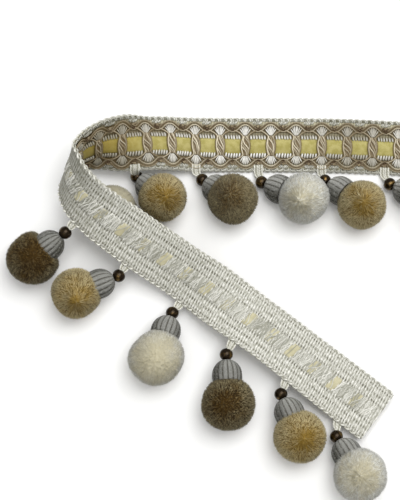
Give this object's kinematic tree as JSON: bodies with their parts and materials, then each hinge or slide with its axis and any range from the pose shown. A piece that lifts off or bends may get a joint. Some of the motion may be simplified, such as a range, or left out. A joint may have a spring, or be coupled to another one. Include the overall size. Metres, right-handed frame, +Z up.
{
  "type": "braid trim with pompom tassels",
  "caption": "Cut length of woven braid trim with a threaded velvet ribbon, scalloped gimp cords and a fringe of beaded pompom tassels",
  "frame": {"origin": "bottom centre of the box that the laid-out trim fills, on the surface it lies on", "axes": "+Z up from the surface; +X along the arm that lies face up, towards its cut end; +Y away from the pompom edge of that arm"},
  "size_m": [0.2002, 0.1734, 0.0367],
  "materials": {
    "cream_weave": "woven cream rayon band with raised weft ridges",
    "gold_velvet": "short-pile gold velvet ribbon",
    "taupe_cord": "twisted taupe silk gimp cord",
    "cream_thread": "twisted cream thread loop",
    "bronze_bead": "dark bronze lacquered bead with a small highlight",
    "silver_silk": "silver grey silk thread wound in ribs",
    "gold_pile": "dense gold cut pile",
    "white_pile": "dense cream-white cut pile",
    "brown_pile": "dense brown cut pile"
  },
  "bodies": {
    "root": {"band": "cream_weave", "ribbon": "gold_velvet", "gimp": "taupe_cord", "hanger_01": "cream_thread", "hanger_02": "cream_thread", "hanger_03": "cream_thread", "hanger_04": "cream_thread", "hanger_05": "cream_thread", "hanger_06": "cream_thread", "hanger_07": "cream_thread", "hanger_08": "cream_thread", "hanger_09": "cream_thread", "hanger_10": "cream_thread", "hanger_11": "cream_thread", "hanger_12": "cream_thread", "bead_01": "bronze_bead", "bead_02": "bronze_bead", "bead_03": "bronze_bead", "bead_04": "bronze_bead", "bead_05": "bronze_bead", "bead_06": "bronze_bead", "bead_07": "bronze_bead", "bead_08": "bronze_bead", "bead_09": "bronze_bead", "bead_10": "bronze_bead", "bead_11": "bronze_bead", "bead_12": "bronze_bead", "skirt_01": "silver_silk", "skirt_02": "silver_silk", "skirt_03": "silver_silk", "skirt_04": "silver_silk", "skirt_05": "silver_silk", "skirt_06": "silver_silk", "skirt_07": "silver_silk", "skirt_08": "silver_silk", "skirt_09": "silver_silk", "skirt_10": "silver_silk", "skirt_11": "silver_silk", "skirt_12": "silver_silk", "pompom_01": "brown_pile", "pompom_02": "gold_pile", "pompom_03": "white_pile", "pompom_04": "brown_pile", "pompom_05": "gold_pile", "pompom_06": "white_pile", "pompom_07": "brown_pile", "pompom_08": "gold_pile", "pompom_09": "white_pile", "pompom_10": "brown_pile", "pompom_11": "gold_pile", "pompom_12": "white_pile"}
  },
  "joints": []
}
